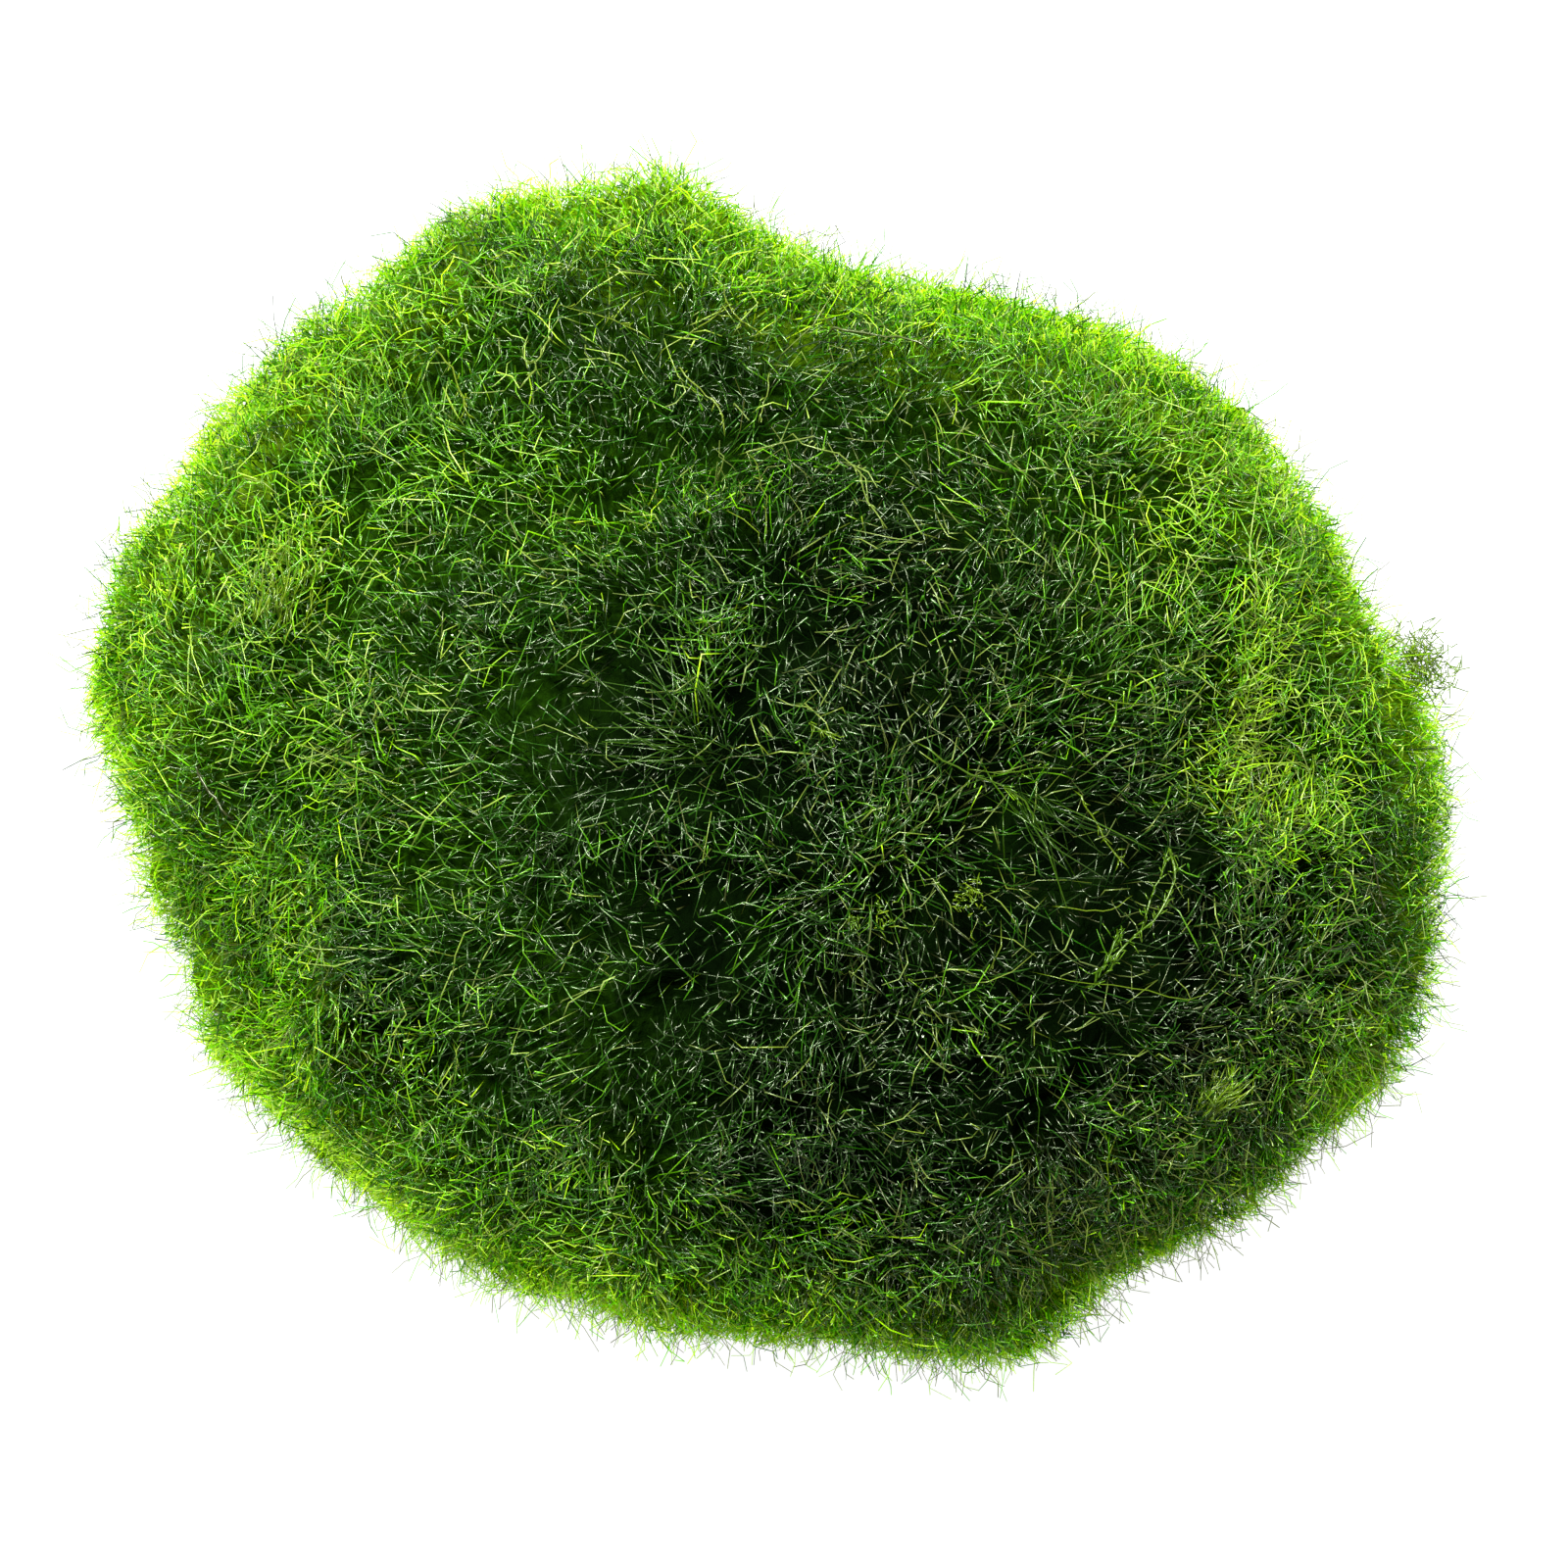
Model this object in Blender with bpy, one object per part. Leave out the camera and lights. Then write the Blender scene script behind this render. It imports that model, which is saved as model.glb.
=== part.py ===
"""A marimo moss ball: a free-living ball of green filamentous alga, about the size of a hen's egg.

The alga grows as one body, so the ball is one closed solid. It is a lumpy egg shape that
reaches the tips of the filaments, with the lobes, creases and hollows that show from a step
away, small tufts over all of it, and the flat spot underneath that it rests on.

Metres, +Z up. The long side lies along X. The origin is on the surface that the ball rests
on, under the middle of its bounding box.
"""

import math

import bmesh
import bpy
from mathutils import Vector, noise

# Overall size over the filaments' tips
LENGTH = 0.0520
WIDTH = 0.0455
HEIGHT = 0.0390

# The plain egg shape under the lobes, as half sizes along X, Y and Z, and how full it is
# between them: 2 is an ellipsoid, and more is fuller
EGG = Vector((0.0245, 0.0218, 0.0200))
FULLNESS = 2.2

# How much of the underside is pressed flat where the ball rests
PRESSED_FLAT = 0.0013

# Every lobe and hollow has an azimuth and an elevation from the ball's middle in degrees,
# how far it swells out or sinks in, and how far it spreads along the level and then up and
# down, in degrees. Azimuth 0 is +X and 90 is +Y.
LOBES = {
    "crown_lobe": (112, 10, 0.0034, 16, 27),
    "crown_lobe_right_end": (97, 12, 0.0016, 8, 22),
    "far_left_shoulder": (141, 8, 0.0029, 20, 28),
    "left_lobe": (168, 2, 0.0038, 17, 28),
    "left_cheek": (205, -4, 0.0007, 16, 30),
    "right_lobe": (3, 2, 0.0019, 11, 24),
    "right_cheek": (337, -2, 0.0025, 20, 32),
    "near_right_lobe": (292, -6, 0.0021, 13, 26),
    "far_right_shoulder": (36, 10, 0.0009, 24, 28),
    "top_swelling": (195, 66, 0.0008, 24, 24),
    "underside_left_lobe": (150, -50, 0.0010, 22, 20),
    "underside_right_lobe": (20, -54, 0.0010, 24, 20),
    "underside_near_lobe": (262, -48, 0.0009, 20, 18),
}
HOLLOWS = {
    "crown_saddle": (74, 8, -0.0008, 15, 24),
    "crease_under_crown": (112, 47, -0.0022, 16, 9),
    "crease_under_crown_right": (84, 50, -0.0018, 16, 10),
    "pit_beside_crown": (121, 38, -0.0012, 6, 6),
    "left_crease": (184, 34, -0.0012, 8, 10),
    "left_crease_near_end": (193, 20, -0.0014, 7, 9),
    "right_pit": (6, 30, -0.0017, 6, 8),
    "thin_patch": (338, 60, -0.0018, 14, 13),
    "near_edge_flat": (248, 4, -0.0011, 20, 24),
    "near_right_flat": (306, -4, -0.0007, 14, 24),
    "near_left_flat": (220, -2, -0.0003, 12, 24),
    "underside_crease": (80, -50, -0.0014, 20, 10),
    "underside_pit": (320, -44, -0.0012, 10, 9),
}

# Lumps and tufts that cover the whole ball: height of the bumps and distance between them
LUMP_HEIGHT, LUMP_SPACING = 0.0011, 0.0125
TUFT_HEIGHT, TUFT_SPACING = 0.0010, 0.0046
LUMP_SEED = Vector((3.1, 7.7, 1.3))
TUFT_SEED = Vector((9.4, 2.2, 5.8))

SPHERE_SUBDIVISIONS = 5

MOSS_GREEN = (0.075, 0.19, 0.018, 1.0)
MOSS_ROUGHNESS = 0.62


def clear_scene():
    for obj in list(bpy.data.objects):
        bpy.data.objects.remove(obj, do_unlink=True)


def direction_of(azimuth, elevation):
    """The unit vector that points at an azimuth and elevation given in degrees."""
    azimuth, elevation = math.radians(azimuth), math.radians(elevation)
    level = math.cos(elevation)
    return Vector((level * math.cos(azimuth), level * math.sin(azimuth), math.sin(elevation)))


def egg_radius(direction):
    """How far the plain egg's surface is from its middle in a direction."""
    total = sum(abs(direction[i] / EGG[i]) ** FULLNESS for i in range(3))
    return total ** (-1 / FULLNESS)


def placed_lobes():
    """Each lobe and hollow as its axes on the ball, its height and its two spreads."""
    placed = []
    table = [*LOBES.values(), *HOLLOWS.values()]
    for azimuth, elevation, height, level_spread, upright_spread in table:
        centre = direction_of(azimuth, elevation)
        level = direction_of(azimuth + 90, 0)
        upright = centre.cross(level)
        spreads = math.radians(level_spread), math.radians(upright_spread)
        placed.append((centre, level, upright, height, *spreads))
    return placed


def lobe_swell(direction, lobes):
    """How far all the lobes and hollows together move the surface in a direction."""
    swell = 0.0
    for centre, level, upright, height, level_spread, upright_spread in lobes:
        towards = direction.dot(centre)
        across = math.atan2(direction.dot(level), towards) / level_spread
        along = math.atan2(direction.dot(upright), towards) / upright_spread
        swell += height * math.exp(-across * across - along * along)
    return swell


def bumps(point, height, spacing, seed):
    """Rounded bumps of a height and spacing, from smooth noise in space."""
    return height * noise.noise(point / spacing + seed)


def shape_ball(mesh):
    """Moves the points of a unit sphere out to the ball's surface."""
    lobes = placed_lobes()
    for vert in mesh.verts:
        direction = vert.co.normalized()
        radius = egg_radius(direction) + lobe_swell(direction, lobes)
        point = direction * radius
        radius += bumps(point, LUMP_HEIGHT, LUMP_SPACING, LUMP_SEED)
        radius += bumps(point, TUFT_HEIGHT, TUFT_SPACING, TUFT_SEED)
        vert.co = direction * radius


def corners_of(mesh):
    """The lowest and highest corner of the mesh's bounding box."""
    low = Vector(min(vert.co[i] for vert in mesh.verts) for i in range(3))
    high = Vector(max(vert.co[i] for vert in mesh.verts) for i in range(3))
    return low, high


def press_underside(mesh):
    """Presses the lowest part of the ball flat, as its own weight does."""
    low, _ = corners_of(mesh)
    floor = low.z + PRESSED_FLAT
    for vert in mesh.verts:
        vert.co.z = max(vert.co.z, floor)


def fit_to_size(mesh):
    """Gives the ball its overall size and sets it on the origin."""
    low, high = corners_of(mesh)
    size = high - low
    bottom = Vector(((low.x + high.x) / 2, (low.y + high.y) / 2, low.z))
    bmesh.ops.translate(mesh, verts=mesh.verts, vec=-bottom)
    scale = Vector((LENGTH / size.x, WIDTH / size.y, HEIGHT / size.z))
    bmesh.ops.scale(mesh, verts=mesh.verts, vec=scale)


def moss_material():
    material = bpy.data.materials.new("moss")
    material.use_nodes = True
    shader = material.node_tree.nodes["Principled BSDF"]
    shader.inputs["Base Color"].default_value = MOSS_GREEN
    shader.inputs["Roughness"].default_value = MOSS_ROUGHNESS
    shader.inputs["Metallic"].default_value = 0.0
    return material


def build_moss_ball(collection):
    sphere = bmesh.new()
    bmesh.ops.create_icosphere(sphere, subdivisions=SPHERE_SUBDIVISIONS, radius=1.0)
    shape_ball(sphere)
    press_underside(sphere)
    fit_to_size(sphere)
    bmesh.ops.recalc_face_normals(sphere, faces=sphere.faces)
    mesh = bpy.data.meshes.new("moss_ball")
    sphere.to_mesh(mesh)
    sphere.free()
    mesh.shade_smooth()
    mesh.materials.append(moss_material())
    ball = bpy.data.objects.new("moss_ball", mesh)
    collection.objects.link(ball)
    return ball


def main():
    clear_scene()
    collection = bpy.data.collections.new("marimo_moss_ball")
    bpy.context.scene.collection.children.link(collection)
    build_moss_ball(collection)


main()
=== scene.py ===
import math

import bmesh
import bpy
import numpy as np
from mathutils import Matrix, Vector
from mathutils.bvhtree import BVHTree


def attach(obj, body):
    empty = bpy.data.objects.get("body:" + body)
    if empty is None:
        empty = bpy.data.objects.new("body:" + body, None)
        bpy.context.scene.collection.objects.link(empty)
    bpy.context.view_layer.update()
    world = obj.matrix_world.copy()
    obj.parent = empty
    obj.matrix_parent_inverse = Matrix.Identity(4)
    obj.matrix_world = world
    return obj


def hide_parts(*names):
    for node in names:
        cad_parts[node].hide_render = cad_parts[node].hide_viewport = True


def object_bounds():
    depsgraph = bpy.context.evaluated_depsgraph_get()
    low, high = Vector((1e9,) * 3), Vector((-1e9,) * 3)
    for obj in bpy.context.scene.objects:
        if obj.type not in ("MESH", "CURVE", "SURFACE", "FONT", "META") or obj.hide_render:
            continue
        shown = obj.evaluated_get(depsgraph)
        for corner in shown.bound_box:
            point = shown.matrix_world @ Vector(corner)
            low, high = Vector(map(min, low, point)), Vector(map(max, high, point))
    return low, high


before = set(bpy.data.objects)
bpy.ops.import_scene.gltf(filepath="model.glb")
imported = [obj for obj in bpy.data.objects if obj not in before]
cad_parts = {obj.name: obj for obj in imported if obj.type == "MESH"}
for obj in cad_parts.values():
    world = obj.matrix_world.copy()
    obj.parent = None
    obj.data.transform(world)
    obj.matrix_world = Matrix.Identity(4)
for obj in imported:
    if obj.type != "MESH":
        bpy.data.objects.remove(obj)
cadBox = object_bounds()
mm = 0.001
ballNode = "moss_ball"


def unit(vectors):
    return vectors / np.maximum(np.linalg.norm(vectors, axis=-1, keepdims=True), 1e-12)


# Camera: straight above the ball, far enough back that its outline is nearly a plain top view
cameraSet = {
    "lens": 150, "sensor": 36, "nearest": 10 * mm,
    "frameWidth": 59.2 * mm,             # what the picture spans at the height of the outline
    "outlineHeight": 20 * mm,
    "aim": (0.6 * mm, -0.5 * mm),
}


def makeCamera(s):
    data = bpy.data.cameras.new("camera")
    data.lens, data.sensor_width = s["lens"], s["sensor"]
    data.clip_start = s["nearest"]
    distance = s["frameWidth"] * s["lens"] / s["sensor"]
    camera = bpy.data.objects.new("camera", data)
    camera.location = (*s["aim"], s["outlineHeight"] + distance)
    bpy.context.scene.collection.objects.link(camera)
    bpy.context.scene.camera = camera
    return camera


# Floor and light: a pale floor lit from below like a light table, a bright ring low all round,
# and one small soft box above for the silvery glints
floorSet = {
    "size": 1.6, "colour": (0.08, 0.08, 0.08, 1), "roughness": 0.7,
    "glow": 0.98, "glowColour": (1, 1, 1, 1),
}
skySet = {
    "low": (0.95, 1.0, 0.6, 1), "lowStrength": 3.2,
    "high": (0.95, 1.0, 0.9, 1), "highStrength": 0.15,
    "fade": (0.05, 0.5),                 # how high up the ring starts and ends to fade, 1 being overhead
    "bright": (-0.27, 0.96, 0.0),        # the side of the ring that shines most
    "lean": 0.36,                        # how much more it shines there than at right angles to it
}
boxSet = {"size": 0.22, "at": (-0.05, 0.15, 0.44), "towards": (0, 0, 0.02), "power": 16.5}


def makeFloor(s):
    shape = bmesh.new()
    bmesh.ops.create_grid(shape, x_segments=1, y_segments=1, size=s["size"] / 2)
    mesh = bpy.data.meshes.new("floor")
    shape.to_mesh(mesh)
    shape.free()
    material = bpy.data.materials.new("pale floor")
    material.use_nodes = True
    shader = material.node_tree.nodes["Principled BSDF"]
    shader.inputs["Base Color"].default_value = s["colour"]
    shader.inputs["Roughness"].default_value = s["roughness"]
    shader.inputs["Emission Color"].default_value = s["glowColour"]
    shader.inputs["Emission Strength"].default_value = s["glow"]
    mesh.materials.append(material)
    floor = bpy.data.objects.new("floor", mesh)
    bpy.context.scene.collection.objects.link(floor)


def makeSky(s):
    world = bpy.data.worlds.new("studio")
    bpy.context.scene.world = world
    world.use_nodes = True
    nodes, links = world.node_tree.nodes, world.node_tree.links
    nodes.clear()
    place = nodes.new("ShaderNodeTexCoord")
    split = nodes.new("ShaderNodeSeparateXYZ")
    height = nodes.new("ShaderNodeMapRange")
    height.interpolation_type = "SMOOTHSTEP"
    height.inputs["From Min"].default_value, height.inputs["From Max"].default_value = s["fade"]
    side = nodes.new("ShaderNodeVectorMath")
    side.operation = "DOT_PRODUCT"
    side.inputs[1].default_value = Vector(s["bright"]).normalized()
    lean = nodes.new("ShaderNodeMath")
    lean.operation = "MULTIPLY_ADD"
    lean.inputs[1].default_value = s["lean"] * s["lowStrength"]
    lean.inputs[2].default_value = s["lowStrength"]
    low = nodes.new("ShaderNodeBackground")
    low.inputs["Color"].default_value = s["low"]
    high = nodes.new("ShaderNodeBackground")
    high.inputs["Color"].default_value = s["high"]
    high.inputs["Strength"].default_value = s["highStrength"]
    mix = nodes.new("ShaderNodeMixShader")
    out = nodes.new("ShaderNodeOutputWorld")
    links.new(place.outputs["Generated"], split.inputs[0])
    links.new(split.outputs["Z"], height.inputs["Value"])
    links.new(place.outputs["Generated"], side.inputs[0])
    links.new(side.outputs["Value"], lean.inputs[0])
    links.new(lean.outputs[0], low.inputs["Strength"])
    links.new(height.outputs["Result"], mix.inputs["Fac"])
    links.new(low.outputs[0], mix.inputs[1])
    links.new(high.outputs[0], mix.inputs[2])
    links.new(mix.outputs[0], out.inputs["Surface"])


def makeSoftBox(s):
    data = bpy.data.lights.new("soft box", "AREA")
    data.shape, data.size, data.energy = "SQUARE", s["size"], s["power"]
    lamp = bpy.data.objects.new("soft box", data)
    lamp.location = s["at"]
    way = Vector(s["towards"]) - Vector(s["at"])
    lamp.rotation_euler = way.to_track_quat("-Z", "Y").to_euler()
    bpy.context.scene.collection.objects.link(lamp)


camera = makeCamera(cameraSet)
makeFloor(floorSet)
makeSky(skySet)
makeSoftBox(boxSet)
bpy.context.scene.view_settings.view_transform = "Standard"
print("stage: camera, floor and light")


# The ball's surface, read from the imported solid: it is where the filaments' tips end
weldDistance = 0.001 * mm


def readBall():
    shape = bmesh.new()
    shape.from_mesh(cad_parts[ballNode].data)
    bmesh.ops.remove_doubles(shape, verts=shape.verts, dist=weldDistance)
    bmesh.ops.triangulate(shape, faces=shape.faces)
    shape.normal_update()
    points = np.array([v.co for v in shape.verts])
    normals = np.array([v.normal for v in shape.verts])
    faces = np.array([[v.index for v in f.verts] for f in shape.faces])
    tree = BVHTree.FromBMesh(shape)
    return shape, points, normals, faces, tree


ballShape, ballPoints, ballNormals, ballFaces, ballTree = readBall()


def smoothNoise(points, spacing, seed, waves=12, uneven=0.45):
    # a sum of sine waves in all directions: smooth bumps about one spacing apart, mostly -2 to 2
    draw = np.random.default_rng(seed)
    ways = unit(draw.normal(size=(waves, 3))) * (2 * math.pi / spacing)
    ways = ways * draw.uniform(1 - uneven, 1 + uneven, (waves, 1))
    phases = draw.uniform(0, 2 * math.pi, waves)
    return np.sin(points @ ways.T + phases).sum(1) / math.sqrt(waves / 2)


def bumps(points, strength, spacing, seed):
    return strength * smoothNoise(points, spacing, seed)


def swirls(points, strength, spacing, seed):
    return strength * np.stack([smoothNoise(points, spacing, seed + i) for i in range(3)], 1)


def spread(points, centre, reach):
    # 1 at a centre, falling off smoothly over a reach
    return np.exp(-((points - np.array(centre)) ** 2).sum(1) / reach ** 2)


def between(low, share):
    # low where the share is 0, and 1 where it is 1
    return low + (1 - low) * share


def alongSurface(vectors, normals):
    return vectors - (vectors * normals).sum(-1, keepdims=True) * normals


def levelWay(degrees):
    # a way in the picture: 0 is right and 90 is up
    return np.array([math.cos(math.radians(degrees)), math.sin(math.radians(degrees)), 0])


def seenFromAbove(x, y):
    # the point of the ball that shows at x, y in the picture, in mm from the picture's middle
    eye = camera.location
    middle = cameraSet["aim"]
    aim = Vector((middle[0] + x * mm, middle[1] + y * mm, cameraSet["outlineHeight"]))
    hit, normal, _, _ = ballTree.ray_cast(eye, (aim - eye).normalized())
    if hit is None:
        hit, normal, _, _ = ballTree.find_nearest(aim)
    return np.array(hit), np.array(normal)


# Which way a place on the ball faces, told by how much its normal points up: 1 on top, 0 at the
# sides and -1 underneath
facingSet = {
    "rimTop": 0.35, "rimFoot": -0.25,    # the rim is where the ball is widest, between these two
    "under": -0.3,                       # the underside starts here
    "fade": 0.5,                         # how gradual both are at the lower end
}


def steepnessOf(normals):
    # 0 on top, 1 at the sides and underneath
    return np.clip(1 - normals[:, 2], 0, 1)


def rimAndUnder(normals, s):
    # 1 all round where the ball is widest, and how far the underside faces down
    above, below = normals[:, 2] / s["rimTop"], (s["rimFoot"] - normals[:, 2]) / s["fade"]
    under = np.clip((s["under"] - normals[:, 2]) / s["fade"], 0, 1)
    return np.clip(1 - np.maximum(above, below), 0, 1), under


# Patches of the ball, by what they do and by the feature they belong to: the place of each in the
# picture, in mm from its middle, and how far it reaches
patchSet = {
    # dark: fewer filaments, a deeper mat and a darker tone. The darker tone is partly darker moss and
    # partly painted shade, in the creases, hollows, holes, notch and cleft
    "dark": {
        "crease under the crown": [
            ((-11.6, 14.8), 1.2), ((-9.6, 16.4), 1.5), ((-7.4, 15.8), 1.4), ((-4.8, 15.9), 1.4),
            ((-2.8, 16.1), 1.4), ((-13, 16), 2.4),
        ],
        "hollows below the valley": [
            ((-7.6, 10.4), 2), ((-4.8, 10.9), 3.3), ((-1.2, 11.5), 2), ((0.8, 10.8), 2.5),
            ((6.8, 10.6), 2.6),
        ],
        "middle": [((-4, 2), 3), ((3, 5), 3), ((5.8, 4.6), 1.8), ((1.3, 0.5), 2)],
        "holes right of the middle": [
            ((10.5, -2), 4.5), ((8.9, -3.2), 1.8), ((12, -7), 4), ((14.5, -12), 4), ((16.4, -8.2), 2),
        ],
        "lower middle": [((5, -6), 4), ((6, -14), 5), ((-2.6, -13.7), 2.9), ((-10.4, -6.6), 2.9)],
        "lower right": [((12, -18), 5), ((8.4, -18.8), 2.5)],
        "notch at the left": [((-21.5, 0), 1.2), ((-21.8, -2.5), 1.2), ((-21, 5), 1.0), ((-24, -0.3), 2)],
        "left shoulder": [((-15.9, 9.8), 1.9), ((-21.8, 12.2), 2), ((-22, 7.9), 1.5)],
        "shaded bit of the crown": [((-7.6, 19.6), 2)],
        "crease left of the crown": [((-15.2, 17.1), 2.3)],
        "far rim": [((2.6, 18.6), 1.8), ((7.2, 16.6), 1.8)],
        "cleft of the right lobe": [((22, 2.6), 1.6)],
    },
    "shade": {
        "middle": [((0, -1), 11), ((2, 8), 7)],
        "lower right": [((12, -7), 11), ((7, -15), 10), ((20, -10), 8)],
        "lower rim": [((4, -20), 4), ((-17.5, -11), 4)],
    },
    "cool": {"crown": [((-6, 18), 4), ((-1, 16), 3)]},
    "bright": {
        "band beside the right lobe": [((18.6, 3.6), 3.6), ((19, 0.6), 2.6)],
        "lower end of the right lobe": [((21.8, -10.3), 2.6), ((19, -8.8), 2.4)],
        "left band": [((-19.4, 10.8), 2), ((-19.2, 7.9), 2.3), ((-19, -2), 1.9)],
        "crown": [((-12.9, 18.8), 2), ((-4.2, 22), 2)],
        "slope under the crown": [((-10.8, 13.1), 1.7)],
        "right shoulder": [((14.7, 10.5), 2.6)],
        "tufts in the middle": [
            ((-10.5, 4.9), 2.1), ((-1.6, 4.8), 1.8), ((4.4, -1.8), 1.8),
            ((11.3, 1.5), 2.2), ((7.5, 7.2), 1.5),
        ],
        "lower rim": [((1.2, -19.3), 2.5), ((15.9, -16.3), 2.5), ((-10.3, -19.1), 2.5)],
    },
    "crease": {"under the crown": [((-3.8, 12.8), 3.2), ((-8, 13.3), 2.5)]},
    "olive": {
        "lower right": [((13, -8), 8), ((11, -3), 5), ((16, -14), 7), ((8, 2), 6)],
        "upper right": [((6, 10), 4), ((17, 6), 4), ((15, 10), 4)],
        "left": [((-15, 3), 3)],
    },
    "lime": {
        "crown": [((-8, 22), 6), ((-12, 19), 3)],
        "slope under the crown": [((-11, 13), 4), ((-6, 13), 4)],
        "left shoulder and rim": [((-18, 15), 6), ((-24, 5), 6), ((-19.5, 7.5), 4)],
        "right shoulder": [((14, 14), 3), ((21, 9), 5), ((14, 10), 4)],
        "band beside the right lobe": [((18, 5), 5), ((17, -1), 3), ((22, -1.5), 2.5), ((10.5, 2), 2.5)],
        "lower rim": [((-5, -20), 3.5), ((1.5, -19.5), 3), ((-12, -16.5), 3), ((20, -10), 3)],
        "tuft in the middle": [((4.5, -1.5), 2)],
    },
}


def patchWeight(points, name):
    total = np.zeros(len(points))
    for feature in patchSet[name].values():
        for (x, y), reach in feature:
            total += spread(points, seenFromAbove(x, y)[0], reach * mm)
    return np.clip(total, 0, 1)


def litShare(points):
    # 0 in the middle of the shaded areas, 1 outside them
    return 1 - patchWeight(points, "shade")


# Sweeps: where the filaments are combed one way. Place in the picture, the way they point
# (0 is right, 90 is up), reach and strength
sweepSet = {
    "leftOfMiddle": ((-9, 1), 190, 8, 1.6),
    "lowerLeft": ((-13, -9), 215, 8, 1.1),
    "rightFan": ((12, 1), 20, 6, 1.8),
    "rightSlope": ((18, -3), 50, 7, 1.3),
    "valley": ((2, 15), 5, 5, 1.4),
    "crown": ((-7, 19), 95, 5, 1.2),
    "bottom": ((2, -16), 320, 7, 1.1),
    "upperRight": ((13, 11), 60, 7, 0.9),
    "farLeft": ((-17, 10), 130, 6, 0.9),
}


# Besides the sweeps, the filaments lean down a little and in swirls of two sizes, each given by
# its strength, spacing and seed
combSet = {"down": 0.35, "broad": (0.62, 9 * mm, 41), "fine": (0.38, 3.4 * mm, 57)}


def combing(points, normals, s):
    # the way the filaments lean, along the surface
    flow = s["down"] * np.broadcast_to(np.array([0, 0, -1.0]), points.shape)
    flow = flow + swirls(points, *s["broad"]) + swirls(points, *s["fine"])
    for (x, y), degrees, reach, strength in sweepSet.values():
        near = spread(points, seenFromAbove(x, y)[0], reach * mm)[:, None]
        flow = flow + strength * near * levelWay(degrees)
    return alongSurface(flow, normals)


def scatter(count, sides, draw):
    # random places on the ball, denser where density is higher
    corners = ballPoints[ballFaces]
    crosses = np.cross(corners[:, 1] - corners[:, 0], corners[:, 2] - corners[:, 0])
    areas = np.linalg.norm(crosses, axis=1)
    weights = areas * density(corners.mean(1), crosses / areas[:, None], sides, densitySet)
    picked = draw.choice(len(ballFaces), count, p=weights / weights.sum())
    a, b = draw.random((2, count))
    turned = a + b > 1
    a[turned], b[turned] = 1 - a[turned], 1 - b[turned]
    shares = np.stack([1 - a - b, a, b], 1)[:, :, None]
    points = (corners[picked] * shares).sum(1)
    normals = unit((ballNormals[ballFaces[picked]] * shares).sum(1))
    return points, normals


# Mat: the dense inside of the ball, a little under the tips. Its dark green is partly the moss's own
# colour and partly painted shade, near black in the shaded areas. It lies less deep at the sides,
# where it is lime, a painted glow. Lumps are given by their height, spacing and seed
matSet = {
    "depth": 2.6 * mm, "sideDepth": 0.95 * mm, "extraInDark": 0.5 * mm, "extraUnder": 0.35 * mm,
    "sideFrom": 0.65, "sideCurve": 1.5,  # where the sides start, by how much the normal points up
    "creasesOver": 32 * mm, "creaseFade": 5 * mm,    # above this the creases count as the top
    "lumps": (0.3 * mm, 2.6 * mm, 11), "fine": (0.16 * mm, 0.9 * mm, 12),
    "footDepth": 0.6 * mm,               # the pressed spot has only a thin layer of filaments
    "footHeight": 2.5 * mm,
    "calmUpTo": 4 * mm, "calmest": 0.1,  # the lumps are smaller near the foot
    "clearance": 0.35 * mm,              # between the mat and what the ball rests on
    "smoothing": 0.5,
    # how much of the mat's painted lime glow is left in the shaded areas, and how much is lost underneath
    "limeInShade": 0.3, "limeLostUnder": 0.8,
}


def inwardDepth(points, side, under, s):
    pressed = np.clip(1 - points[:, 2] / s["footHeight"], 0, 1)
    depth = s["depth"] + s["extraInDark"] * patchWeight(points, "dark")
    depth += (s["sideDepth"] - depth) * side + s["extraUnder"] * under
    return depth * (1 - pressed) + s["footDepth"] * pressed


def makeMat(s):
    shape = ballShape.copy()
    bmesh.ops.subdivide_edges(shape, edges=shape.edges, cuts=1, use_grid_fill=True)
    bmesh.ops.triangulate(shape, faces=shape.faces)
    bmesh.ops.smooth_vert(
        shape, verts=shape.verts, factor=s["smoothing"],
        use_axis_x=True, use_axis_y=True, use_axis_z=True)
    shape.normal_update()
    points = np.array([v.co for v in shape.verts])
    normals = np.array([v.normal for v in shape.verts])
    side = np.clip((s["sideFrom"] - normals[:, 2]) / s["sideFrom"], 0, 1) ** s["sideCurve"]
    side *= np.clip((s["creasesOver"] - points[:, 2]) / s["creaseFade"], 0, 1)
    under = rimAndUnder(normals, facingSet)[1]
    rough = bumps(points, *s["lumps"]) + bumps(points, *s["fine"])
    calm = np.clip(points[:, 2] / s["calmUpTo"], s["calmest"], 1)
    places = points - normals * (inwardDepth(points, side, under, s) + rough * calm)[:, None]
    places[:, 2] = np.maximum(places[:, 2], s["clearance"])
    for vert, place in zip(shape.verts, places):
        vert.co = place
    mesh = bpy.data.meshes.new("moss_mat")
    shape.to_mesh(mesh)
    shape.free()
    mesh.shade_smooth()
    # the UV carries painted light: how lit a place is, for painted shade, and the lime of the sides, a
    # painted glow dimmed in the shaded areas and underneath
    lit = litShare(points)
    lime = side * between(s["limeInShade"], lit) * (1 - s["limeLostUnder"] * under)
    corners = np.empty(len(mesh.loops), np.int32)
    mesh.loops.foreach_get("vertex_index", corners)
    uv = np.stack([lit[corners], lime[corners]], 1)
    mesh.uv_layers.new(name="OFBake").data.foreach_set("uv", uv.astype(np.float32).ravel())
    mesh.materials.append(matMaterial(matLook))
    return keep("moss_mat", mesh)


def keep(name, mesh):
    # each piece rides on the root body, and the imported solid is hidden
    piece = bpy.data.objects.new(name, mesh)
    bpy.context.scene.collection.objects.link(piece)
    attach(piece, "root")
    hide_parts(ballNode)
    return piece


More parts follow.
